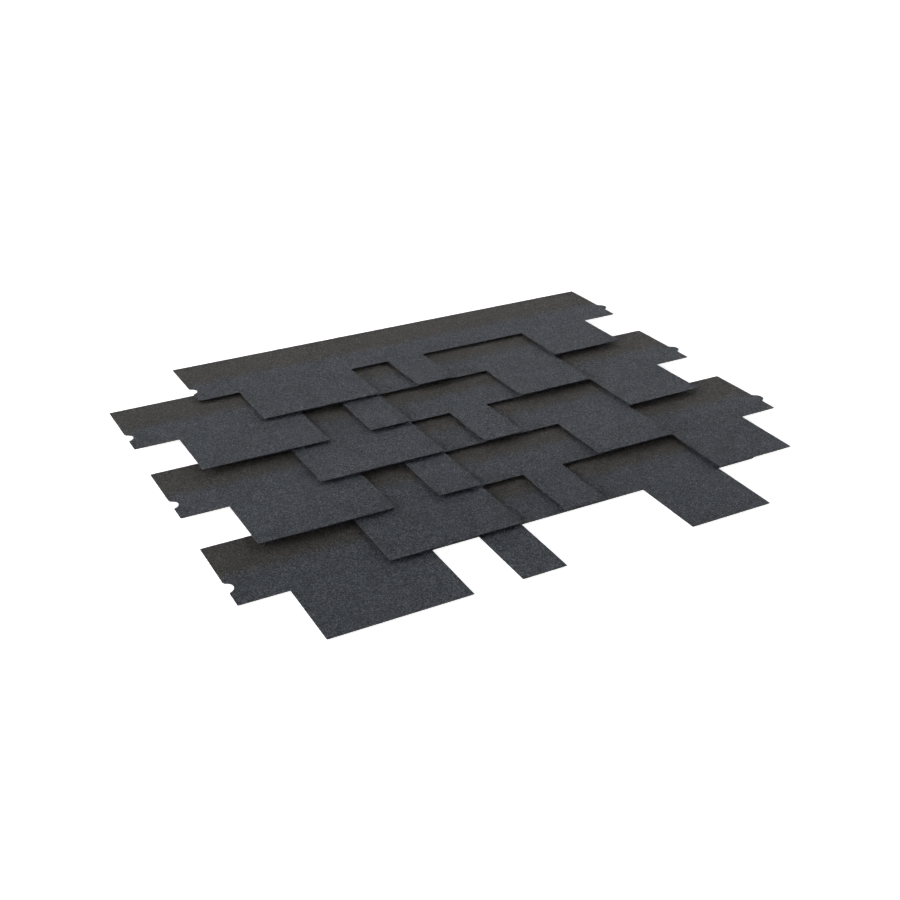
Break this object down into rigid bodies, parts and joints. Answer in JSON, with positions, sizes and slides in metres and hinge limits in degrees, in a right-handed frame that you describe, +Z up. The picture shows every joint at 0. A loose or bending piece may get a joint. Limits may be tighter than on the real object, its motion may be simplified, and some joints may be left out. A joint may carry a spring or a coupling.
{
  "type": "asphalt shingle bundle",
  "caption": "Laid group of asphalt roofing shingle strips with uneven square tabs, each row lapped over the one in front and shifted sideways, resting flat on their undersides.",
  "frame": {"origin": "centre of the group's footprint, on the level floor that it rests on", "axes": "+X along the strips towards the end with the nibs, +Y up the slope from the tabs to the top edges, +Z up"},
  "size_m": [1.182, 1.007, 0.0112],
  "materials": {
    "shingle": "matt bitumen sheet faced with fine blue-grey mineral granules, olive-brown along the lap"
  },
  "bodies": {
    "root": {"shingle_1": "shingle", "shingle_2": "shingle", "shingle_3": "shingle", "shingle_4": "shingle", "shingle_5": "shingle", "shingle_6": "shingle"}
  },
  "joints": []
}
